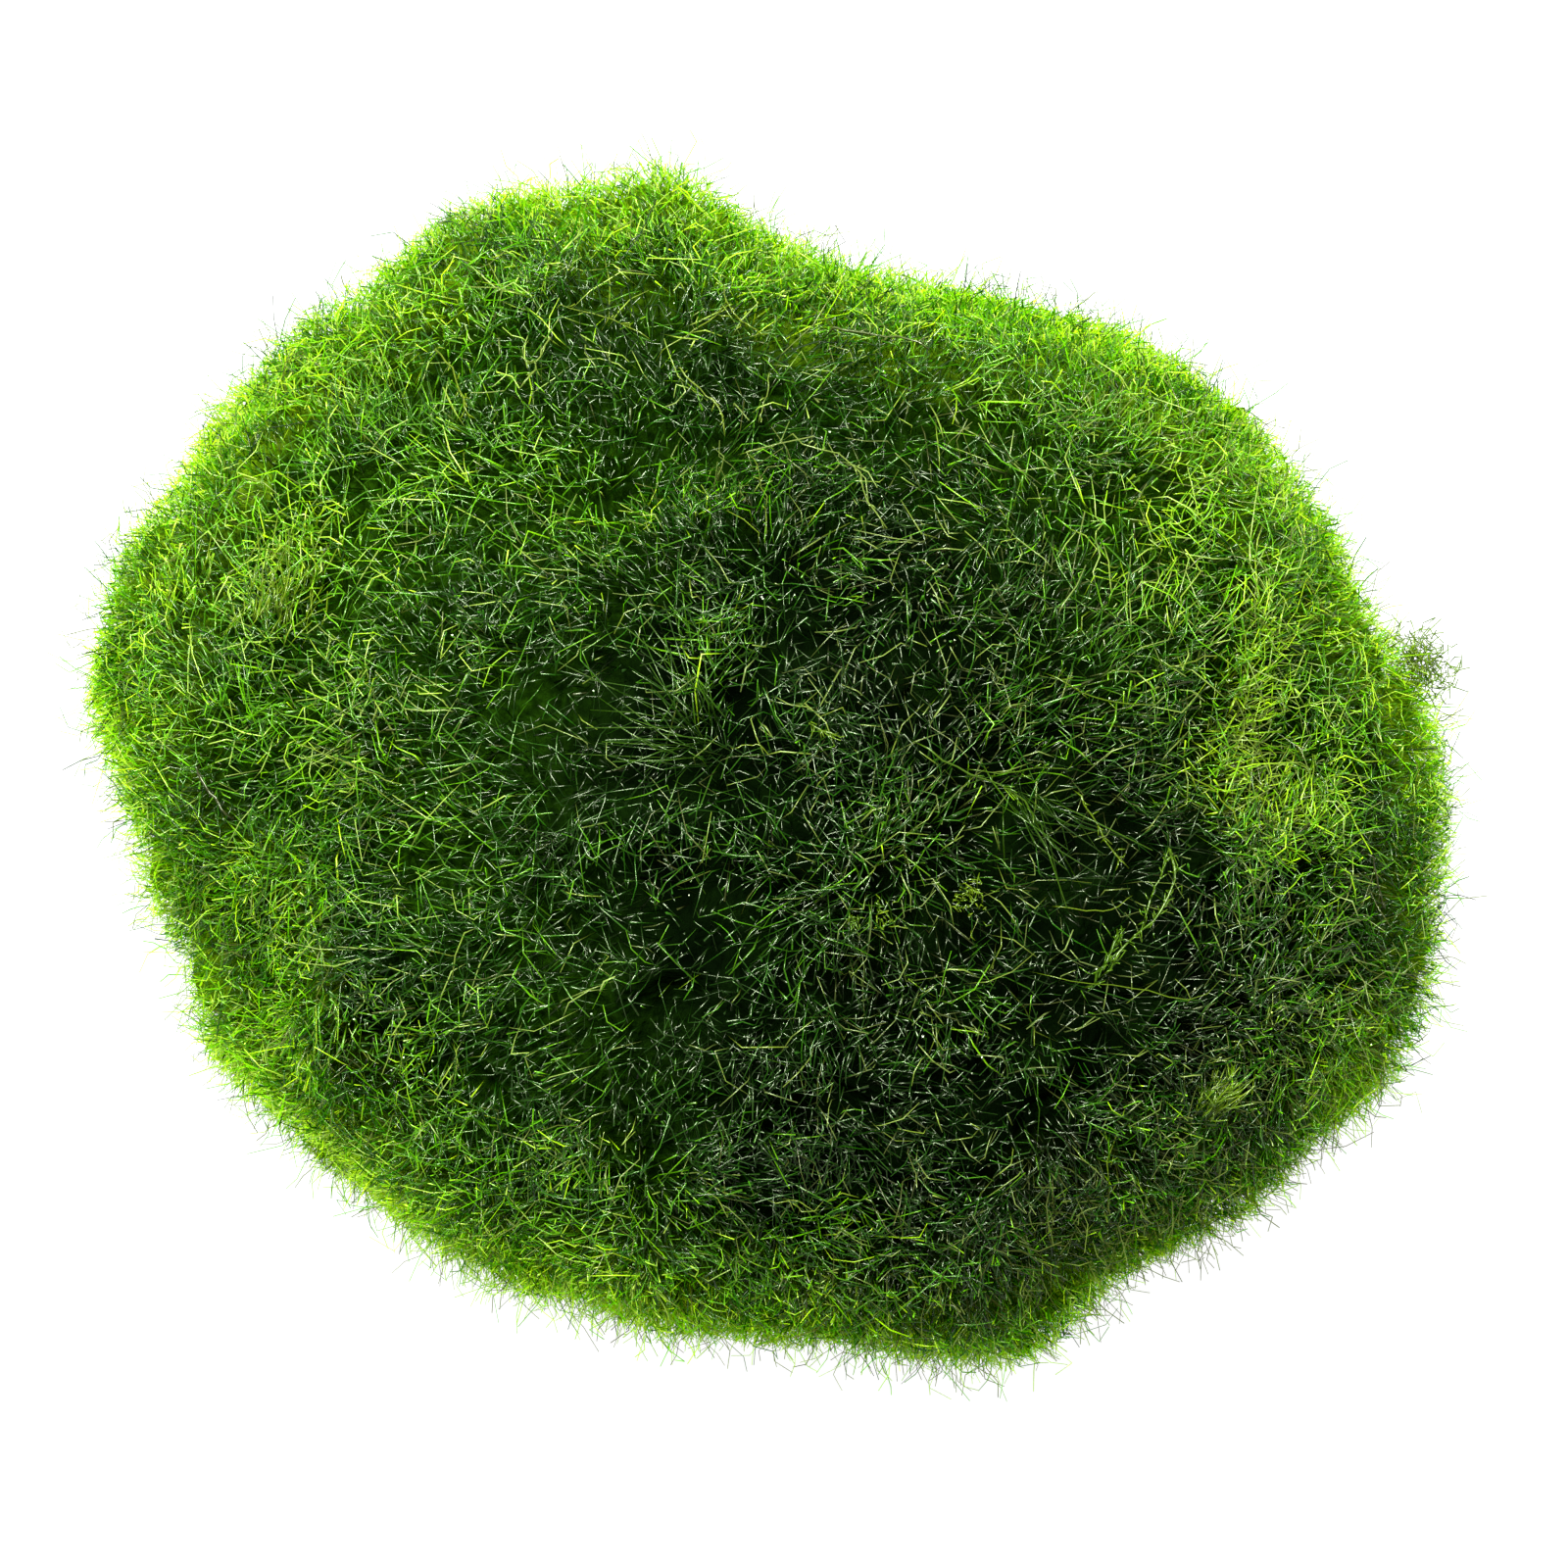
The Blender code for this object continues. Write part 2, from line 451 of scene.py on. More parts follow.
# Materials
# Along u from deep green to lime, pale and brown: place, lit side and the light that comes through
tones = [
    (0.00, (0.003, 0.015, 0.001), (0.008, 0.09, 0.001)),
    (0.20, (0.012, 0.054, 0.0015), (0.06, 0.34, 0.002)),
    (0.42, (0.088, 0.210, 0.003), (0.41, 0.84, 0.005)),
    (0.60, (0.285, 0.430, 0.010), (0.77, 0.98, 0.030)),
    (0.74, (0.350, 0.500, 0.080), (0.68, 0.93, 0.120)),
    (0.86, (0.320, 0.450, 0.110), (0.57, 0.76, 0.180)),
    (1.00, (0.045, 0.050, 0.007), (0.17, 0.190, 0.025)),
]
# Painted shade along v from the roots to the tips: place, and how light it is there
heights = [(0.0, 0.03), (0.4, 0.15), (0.75, 0.62), (0.95, 1.0)]
filamentLook = {"roughness": 0.24, "gloss": 0.8, "ior": 1.6, "tint": (0.87, 1.0, 0.68, 1), "through": 0.6}
fuzzLook = {"roughness": 0.6, "gloss": 0.0, "ior": 1.4, "tint": (0.9, 1.0, 0.4, 1), "through": 0.72}
matLook = {
    "roughness": 0.9,
    "patchScale": 420, "patchDetail": 5, "fibreScale": 2600, "fibreDetail": 3,
    "bump": 0.9, "bumpHeight": 0.3 * mm,
    # the mat's colours: shaded is painted shade, green is for the lit areas and lime is a painted glow at
    # the sides
    "shaded": [
        (0.35, (0.0003, 0.0008, 0.0002)),
        (0.55, (0.0006, 0.0018, 0.0003)),
        (0.75, (0.0015, 0.005, 0.0005)),
    ],
    "green": [
        (0.3, (0.0008, 0.003, 0.0001)),
        (0.5, (0.0024, 0.009, 0.0002)),
        (0.7, (0.006, 0.021, 0.0005)),
    ],
    "lime": [(0.3, (0.022, 0.055, 0.001)), (0.5, (0.06, 0.13, 0.002)), (0.7, (0.13, 0.23, 0.004))],
}


def ramp(nodes, stops):
    node = nodes.new("ShaderNodeValToRGB")
    stopsNow = node.color_ramp.elements
    while len(stopsNow) < len(stops):
        stopsNow.new(0.5)
    for element, (position, colour) in zip(stopsNow, stops):
        element.position = position
        element.color = (*colour, 1)
    return node


def tonesWithPaintedShade(nodes, links, stops, tone, height):
    # a ramp of tones, with painted shade towards the roots
    colours = ramp(nodes, stops)
    along = ramp(nodes, [(position, (light,) * 3) for position, light in heights])
    mixer = nodes.new("ShaderNodeMix")
    mixer.data_type, mixer.blend_type = "RGBA", "MULTIPLY"
    mixer.inputs["Factor"].default_value = 1
    links.new(tone, colours.inputs["Fac"])
    links.new(height, along.inputs["Fac"])
    links.new(colours.outputs["Color"], mixer.inputs["A"])
    links.new(along.outputs["Color"], mixer.inputs["B"])
    return mixer.outputs["Result"]


def makeFrontTones():
    # node group: the colour that a filament shows on its lit side
    group = bpy.data.node_groups.new("moss front tones", "ShaderNodeTree")
    group.interface.new_socket("Tone", in_out="INPUT", socket_type="NodeSocketFloat")
    group.interface.new_socket("Height", in_out="INPUT", socket_type="NodeSocketFloat")
    group.interface.new_socket("Colour", in_out="OUTPUT", socket_type="NodeSocketColor")
    nodes, links = group.nodes, group.links
    given, result = nodes.new("NodeGroupInput"), nodes.new("NodeGroupOutput")
    stops = [(position, front) for position, front, _ in tones]
    colour = tonesWithPaintedShade(nodes, links, stops, given.outputs["Tone"], given.outputs["Height"])
    links.new(colour, result.inputs["Colour"])
    return group


def filamentMaterial(name, s, frontTones):
    material = bpy.data.materials.new(name)
    material.use_nodes = True
    nodes, links = material.node_tree.nodes, material.node_tree.links
    shader = nodes["Principled BSDF"]
    shader.inputs["Roughness"].default_value = s["roughness"]
    shader.inputs["Specular IOR Level"].default_value = s["gloss"]
    shader.inputs["IOR"].default_value = s["ior"]
    shader.inputs["Specular Tint"].default_value = s["tint"]
    tone, height = uvParts(nodes, links)
    front = nodes.new("ShaderNodeGroup")
    front.node_tree = frontTones
    links.new(tone, front.inputs["Tone"])
    links.new(height, front.inputs["Height"])
    links.new(front.outputs["Colour"], shader.inputs["Base Color"])
    glow = nodes.new("ShaderNodeBsdfTranslucent")          # light that comes through from behind
    stops = [(position, through) for position, _, through in tones]
    links.new(tonesWithPaintedShade(nodes, links, stops, tone, height), glow.inputs["Color"])
    both = nodes.new("ShaderNodeMixShader")
    both.inputs["Fac"].default_value = s["through"]
    links.new(shader.outputs[0], both.inputs[1])
    links.new(glow.outputs[0], both.inputs[2])
    links.new(both.outputs[0], nodes["Material Output"].inputs["Surface"])
    return material


def uvParts(nodes, links):
    # the two halves of the piece's own UV
    uv = nodes.new("ShaderNodeUVMap")
    uv.uv_map = "OFBake"
    split = nodes.new("ShaderNodeSeparateXYZ")
    links.new(uv.outputs["UV"], split.inputs[0])
    return split.outputs["X"], split.outputs["Y"]


def noiseNode(nodes, links, place, scale, detail):
    noise = nodes.new("ShaderNodeTexNoise")
    noise.inputs["Scale"].default_value = scale
    noise.inputs["Detail"].default_value = detail
    links.new(place.outputs["Object"], noise.inputs["Vector"])
    return noise


def matMaterial(s):
    # painted shade, green or painted lime glow, by the mat's UV, each with its own grain
    material = bpy.data.materials.new("moss mat")
    material.use_nodes = True
    nodes, links = material.node_tree.nodes, material.node_tree.links
    shader = nodes["Principled BSDF"]
    shader.inputs["Roughness"].default_value = s["roughness"]
    shader.inputs["Specular IOR Level"].default_value = 0
    place = nodes.new("ShaderNodeTexCoord")
    patches = noiseNode(nodes, links, place, s["patchScale"], s["patchDetail"])
    fibres = noiseNode(nodes, links, place, s["fibreScale"], s["fibreDetail"])
    shaded, green, lime = (ramp(nodes, s[name]) for name in ("shaded", "green", "lime"))
    for grain, colours in ((patches, shaded), (fibres, green), (fibres, lime)):
        links.new(grain.outputs["Fac"], colours.inputs["Fac"])
    lit, side = uvParts(nodes, links)
    litMix, sideMix = (nodes.new("ShaderNodeMix") for _ in range(2))
    litMix.data_type = sideMix.data_type = "RGBA"
    links.new(lit, litMix.inputs["Factor"])
    links.new(side, sideMix.inputs["Factor"])
    links.new(shaded.outputs["Color"], litMix.inputs["A"])
    links.new(green.outputs["Color"], litMix.inputs["B"])
    links.new(litMix.outputs["Result"], sideMix.inputs["A"])
    links.new(lime.outputs["Color"], sideMix.inputs["B"])
    links.new(sideMix.outputs["Result"], shader.inputs["Base Color"])
    bump = nodes.new("ShaderNodeBump")
    bump.inputs["Strength"].default_value = s["bump"]
    bump.inputs["Distance"].default_value = s["bumpHeight"]
    links.new(fibres.outputs["Fac"], bump.inputs["Height"])
    links.new(bump.outputs["Normal"], shader.inputs["Normal"])
    return material


# Filaments: each is a closed three-sided tube that starts in a point deep in the moss and has a
# small flat end. A line of points (filaments, joints, 3), the thickness at each joint after the
# first, a tone, and how high each joint lies become one joined mesh.
tubeSet = {
    "seed": 5,
    "aside": (0.31, 0.57, 0.76),         # a way that hardly any filament takes
    "sideTone": 0.004,                   # how much the three sides differ in tone
    "tones": (0.002, 0.998), "heights": (0.01, 0.99),
    "pressedBelow": 0.6 * mm,
}


def filamentMesh(name, lines, radii, tone, height, material, s=tubeSet):
    count, joints = lines.shape[:2]
    along = unit(np.gradient(lines, axis=1))[:, 1:]
    across = unit(np.cross(along, np.array(s["aside"])))
    other = np.cross(along, across)
    turn = np.random.default_rng(s["seed"]).uniform(0, 2 * math.pi, (count, 1, 1, 1))
    angle = turn + (np.arange(3) * 2 * math.pi / 3)[None, None, :, None]
    circle = np.cos(angle) * across[:, :, None] + np.sin(angle) * other[:, :, None]
    rings = lines[:, 1:, None] + circle * radii[:, :, None, None]
    verts = np.concatenate([lines[:, :1], rings.reshape(count, -1, 3)], 1)
    size = verts.shape[1]
    tris = [(0, 2, 1), (0, 3, 2), (0, 1, 3), (size - 3, size - 2, size - 1)]
    for a in range(1, size - 3, 3):
        for k, n in ((0, 1), (1, 2), (2, 0)):
            tris += [(a + k, a + n, a + 3 + n), (a + k, a + 3 + n, a + 3 + k)]
    corners = (np.array(tris).ravel()[None] + (np.arange(count) * size)[:, None]).ravel()
    sides = np.array([0] + [-s["sideTone"], 0, s["sideTone"]] * (joints - 1))
    u = np.clip(tone[:, None] + sides, *s["tones"])
    v = np.clip(np.concatenate([height[:, :1], np.repeat(height[:, 1:], 3, axis=1)], 1), *s["heights"])
    uv = np.stack([u, v], -1).reshape(-1, 2)
    mesh = bpy.data.meshes.new(name)
    mesh.vertices.add(count * size)
    places = pressFlat(verts.reshape(-1, 3), s["pressedBelow"])
    mesh.vertices.foreach_set("co", places.astype(np.float32).ravel())
    mesh.loops.add(len(corners))
    mesh.loops.foreach_set("vertex_index", corners.astype(np.int32))
    mesh.polygons.add(len(corners) // 3)
    mesh.polygons.foreach_set("loop_start", np.arange(0, len(corners), 3, dtype=np.int32))
    smooth = np.ones((count, len(tris)), bool)
    smooth[:, 3] = False                 # the flat end
    mesh.polygons.foreach_set("use_smooth", smooth.ravel())
    mesh.uv_layers.new(name="OFBake").data.foreach_set("uv", uv[corners].astype(np.float32).ravel())
    mesh.update()
    mesh.materials.append(material)
    return mesh


def pressFlat(points, start):
    # filaments under the ball are pressed against what it rests on, and never go through it
    low = points[:, 2] < start
    points[low, 2] = start * np.exp(points[low, 2] / start - 1)
    return points


# Kinds of filament:
# - count is how many, perTuft how many share a way, and joints how many bends plus one. sides is how
#   much denser they stand at the ball's sides. length, width (across a tuft) and radius are sizes,
#   and end is how thin the tip is
# - rise, comb and mess say how far a tuft points out, along the combing or anyhow, fan how far it
#   opens, and stray how far one filament leaves it. curl, arch and kink bend a filament sideways,
#   down and at random
# - deep is how far under the ball's surface the highest point ends, and out how far above it
# - shade and litTone shift the tone, everywhere and in the lit areas, where litTone is painted
#   light, and vary is how much it differs. pale and brown are how many are of that tone, and dull
#   how many are not glossy
kinds = {
    "undergrowth": {
        "count": 42000, "perTuft": 6, "joints": 1, "sides": 0.8,
        "length": 1.6 * mm, "width": 0.45 * mm, "radius": 0.042 * mm, "end": 1.0,
        "rise": 1.0, "comb": 0.8, "mess": 0.5, "fan": 0.15, "stray": 0.45,
        "curl": 0, "arch": 0, "kink": 0, "deep": 0.9 * mm, "out": -0.3 * mm,
        "shade": -0.04, "litTone": 0.04, "vary": 0.05, "pale": 0.0, "brown": 0.15, "dull": 1.2,
    },
    "filaments": {
        "count": 34000, "perTuft": 5, "joints": 2, "sides": 0.5,
        "length": 1.9 * mm, "width": 0.42 * mm, "radius": 0.028 * mm, "end": 0.6,
        "rise": 0.75, "comb": 0.9, "mess": 0.6, "fan": 0.25, "stray": 0.38,
        "curl": 1.6, "arch": 0.3, "kink": 0.25, "deep": 0.45 * mm, "out": -0.05 * mm,
        "shade": -0.02, "litTone": 0.02, "vary": 0.085, "pale": 0.05, "brown": 0.02, "dull": 0.95,
    },
    "strands": {
        "count": 16800, "perTuft": 6, "joints": 3, "sides": 0.3,
        "length": 2.3 * mm, "width": 0.55 * mm, "radius": 0.025 * mm, "end": 0.7,
        "rise": 0.42, "comb": 0.9, "mess": 0.7, "fan": 0.35, "stray": 0.28,
        "curl": 2.0, "arch": 1.0, "kink": 0.28, "deep": 0.4 * mm, "out": 0.1 * mm,
        "shade": 0.02, "litTone": 0.0, "vary": 0.1, "pale": 0.08, "brown": 0.02, "dull": 0.85,
    },
    "fuzz": {
        "count": 24000, "perTuft": 5, "joints": 1, "sides": 30,
        "length": 1.1 * mm, "width": 0.4 * mm, "radius": 0.033 * mm, "end": 0.8,
        "rise": 0.8, "comb": 0.6, "mess": 0.9, "fan": 0.3, "stray": 0.6,
        "curl": 0, "arch": 0, "kink": 0, "deep": 0.4 * mm, "out": 0.05 * mm,
        "shade": 0.1, "litTone": 0.0, "vary": 0.15, "pale": 0.08, "brown": 0.02, "dull": 1.1,
    },
    "flyaways": {
        "count": 5500, "perTuft": 1, "joints": 3, "sides": 18,
        "length": 2.8 * mm, "width": 0.5 * mm, "radius": 0.02 * mm, "end": 0.8,
        "rise": 1.6, "comb": 0.3, "mess": 0.8, "fan": 0.0, "stray": 0.3,
        "curl": 1.2, "arch": 0.2, "kink": 0.5, "deep": -0.8 * mm, "out": 0.2 * mm,
        "shade": -0.04, "litTone": 0.0, "vary": 0.14, "pale": 0.0, "brown": 3, "dull": 4,
    },
}


# How dense the filaments stand: thinner on the pressed spot and in the dark patches, denser in the
# crease and the bright patches. Clouds are given by their strength, spacing and seed
densitySet = {
    "clouds": (0.16, 3.2 * mm, 77), "pressedUpTo": 0.8 * mm, "pressed": -0.6,
    "dark": -0.12, "crease": 1.0, "bright": 0.35,
}


def density(points, normals, sides, s):
    pressed = np.clip(1 - points[:, 2] / s["pressedUpTo"], 0, 1)
    patchy = 1 + bumps(points, *s["clouds"])
    for name in ("dark", "crease", "bright"):
        patchy *= 1 + s[name] * patchWeight(points, name)
    return (1 + s["pressed"] * pressed) * patchy * (1 + sides * (1 - normals[:, 2] ** 2) ** 2)


# Tones: 0 is deep green and 0.6 is lime. Most entries say how far something shifts the tone. The
# shifts at the sides, at the steepest and round the rim are a painted glow, and those underneath
# and in the shaded areas painted shade
toneSet = {
    "base": 0.145, "range": (0.02, 0.72),
    "broad": (0.05, 7 * mm, 21), "middling": (0.05, 2.5 * mm, 23),     # strength, spacing and seed
    "fine": (1.1 * mm, 29), "fineOnTop": 0.03, "fineAtSides": 0.10,
    # painted glow at the sides and most at the steepest, weaker in the shaded areas, and painted shade
    # underneath
    "side": 0.20, "sideCurve": 0.7, "sideInShade": 0.65, "under": -0.22,
    "paintedEdgeGlow": 0.07, "steepestCurve": 4,
    "rim": 0.17, "rimNorth": -0.13, "rimEast": -0.02,      # painted glow: the outermost ones are the brightest, less so to the north
    # the dark patches' shift is partly darker moss and partly painted shade, and shade is painted shade
    "lime": 0.09, "bright": 0.13, "dark": -0.10, "shade": -0.02, "cool": -0.05,
    "pale": (0.66, 0.86), "paleInOlive": 1.5,
    "brown": (0.93, 0.99), "brownEverywhere": 0.1,
}


def toneOf(points, normals, kind, s, draw):
    # how far each filament is from deep green to lime, with some pale and brown ones. It holds painted
    # light: a glow at the sides, round the rim and in the lit areas, and shade underneath and in the
    # shaded areas
    count = len(points)
    steep, lit = steepnessOf(normals), litShare(points)
    rim, under = rimAndUnder(normals, facingSet)
    tone = s["base"] + kind["shade"] + bumps(points, *s["broad"]) + bumps(points, *s["middling"])
    # painted glow: lighter at the sides, the steepest places, the lit areas and round the rim
    tone += s["side"] * steep ** s["sideCurve"] * between(s["sideInShade"], lit)
    tone += s["paintedEdgeGlow"] * steep ** s["steepestCurve"] + kind["litTone"] * lit
    tone += (s["rim"] + s["rimNorth"] * normals[:, 1] + s["rimEast"] * normals[:, 0]) * rim
    tone += (s["fineOnTop"] + s["fineAtSides"] * steep) * smoothNoise(points, *s["fine"])
    for name in ("lime", "bright", "dark", "shade", "cool"):
        tone += s[name] * patchWeight(points, name)
    # darker underneath: painted shade
    tone += s["under"] * under + kind["vary"] * draw.normal(size=count)
    tone = np.clip(tone, *s["range"])
    chance = draw.random(count)
    olive = patchWeight(points, "olive")
    isPale = chance < kind["pale"] * (1 + s["paleInOlive"] * olive)
    isBrown = chance > 1 - kind["brown"] * (s["brownEverywhere"] + olive)
    tone = np.where(isPale, draw.uniform(*s["pale"], count), tone)
    return np.where(isBrown, draw.uniform(*s["brown"], count), tone)


# Painted shade along a filament: how light it is along its length, dark at the roots, and less so at
# the sides, in the lit areas and round the rim
paintedDepthShadeSet = {
    "paintedShadeReach": 2.6 * mm,                  # how deep in the moss the painted shade is darkest
    "side": -0.15, "lit": -0.36, "rim": -0.45, "rimNorth": 0.2,
    "paleFrom": 0.64, "pale": 0.6, "paleLit": 0.3, "paleSide": 0.1,    # pale ones get painted shade on top of that, less in the lit areas and at the sides
}


def paintedDepthShade(depth, tone, places, normals, s):
    steep, lit = steepnessOf(normals)[:, None], litShare(places)[:, None]
    rim = rimAndUnder(normals, facingSet)[0][:, None]
    # painted shade: how fast a filament darkens with depth, less so at the sides, in the lit areas and
    # round the rim
    dark = (1 + s["side"] * steep) * (1 + s["lit"] * lit)
    dark *= 1 + (s["rim"] + s["rimNorth"] * normals[:, 1:2]) * rim
    height = 1 - depth / s["paintedShadeReach"] * dark
    pale = height * (s["pale"] + s["paleLit"] * lit + s["paleSide"] * steep)
    return np.where(tone[:, None] > s["paleFrom"], pale, height)


boxRoom = 0.026                          # how far past the ball's box a hair may reach, in its sides


def insideBox(lines):
    # a filament that would reach further out than a little over the ball's box is moved back
    low, high = np.array(cadBox[0]), np.array(cadBox[1])
    room = boxRoom * (high - low)
    back = np.minimum(high + room - lines.max(1), 0) + np.maximum(low - room - lines.min(1), 0)
    return lines + back[:, None]


growSet = {
    "sideRise": 0.9, "sideComb": -0.5, "sideLength": -0.42, "sideRadius": -0.2,     # at the sides
    "tuftLengths": 0.2, "lengths": 0.28, "longest": 1.7, "radii": 0.18,      # how much they differ
    "bendAtSides": 0.4, "bendFrom": -0.25,
    "roots": (-2.9 * mm, -0.4 * mm),     # how low and how high a filament's first point may be
}


def growKind(s, grow, draw):
    # the lines of one kind of filament, how deep they lie, and where on the ball each grows
    tufts = s["count"] // s["perTuft"]
    centres, outward = scatter(tufts, s["sides"], draw)
    flow = combing(centres, outward, combSet)
    anyhow = alongSurface(draw.normal(size=(tufts, 3)), outward)
    steep = steepnessOf(outward)[:, None]
    lean = (1 + grow["sideComb"] * steep) * (s["comb"] * flow + s["mess"] * anyhow)
    tuftWay = unit((s["rise"] + grow["sideRise"] * steep) * outward + lean)
    tuftLength = s["length"] * np.exp(grow["tuftLengths"] * draw.normal(size=tufts))
    tuftLength = tuftLength * (1 + grow["sideLength"] * steep[:, 0])
    owner = np.repeat(np.arange(tufts), s["perTuft"])
    count, normals = len(owner), outward[owner]
    offset = alongSurface(draw.normal(size=(count, 3)) * s["width"], normals)
    way = tuftWay[owner] + s["fan"] * offset / s["width"] + s["stray"] * draw.normal(size=(count, 3))
    way = unit(way)
    length = tuftLength[owner] * np.exp(grow["lengths"] * draw.normal(size=count))
    length = np.minimum(length, grow["longest"] * s["length"])
    flat = np.clip(normals[:, 2:], 0, 1)
    sideways = alongSurface(draw.normal(size=(count, 3)), normals)
    bend = s["curl"] * between(grow["bendAtSides"], flat) * sideways - s["arch"] * flat * normals
    points = [np.zeros((count, 3))]
    for joint in range(s["joints"]):
        turn = (joint + 0.5) / s["joints"] + grow["bendFrom"]
        step = unit(way + turn * bend + s["kink"] * draw.normal(size=(count, 3)))
        points.append(points[-1] + step * (length / s["joints"])[:, None])
    lines = np.stack(points, 1)
    climb = (lines * normals[:, None]).sum(2)
    sink = np.abs(draw.normal(size=count)) * s["deep"] - s["out"]
    lift = np.clip(-sink - climb.max(1), *grow["roots"])
    lines = lines + (centres[owner] + offset)[:, None] + (lift[:, None] * normals)[:, None]
    depth = -(climb + lift[:, None])
    return insideBox(lines), depth, centres[owner], normals


firstSeed = 100                          # each kind of filament has the next one
mostTriangles = 195000                   # in one piece


def makeFilaments(glossy, dull):
    total = 0
    for seed, (kind, s) in enumerate(kinds.items(), firstSeed):
        draw = np.random.default_rng(seed)
        lines, depth, places, normals = growKind(s, growSet, draw)
        tone = toneOf(places, normals, s, toneSet, draw)
        height = paintedDepthShade(depth, tone, places, normals, paintedDepthShadeSet)
        steep = steepnessOf(normals)
        radius = s["radius"] * np.exp(growSet["radii"] * draw.normal(size=len(lines)))
        taper = np.ones(s["joints"])
        taper[-1] = s["end"]
        radii = (radius * (1 + growSet["sideRadius"] * steep))[:, None] * taper
        isDull = draw.random(len(lines)) < s["dull"] * steep ** 2
        most = mostTriangles // (6 * s["joints"] - 2)        # filaments in one piece
        part = 0
        for material, chosen in ((glossy, np.nonzero(~isDull)[0]), (dull, np.nonzero(isDull)[0])):
            for first in range(0, len(chosen), most):
                cut = chosen[first:first + most]
                part += 1
                name = f"moss_{kind}_{part}"
                mesh = filamentMesh(name, lines[cut], radii[cut], tone[cut], height[cut], material)
                keep(name, mesh)
                total += len(mesh.polygons)
        print(kind + ":", len(lines))
    print("filaments: triangles in all", total)


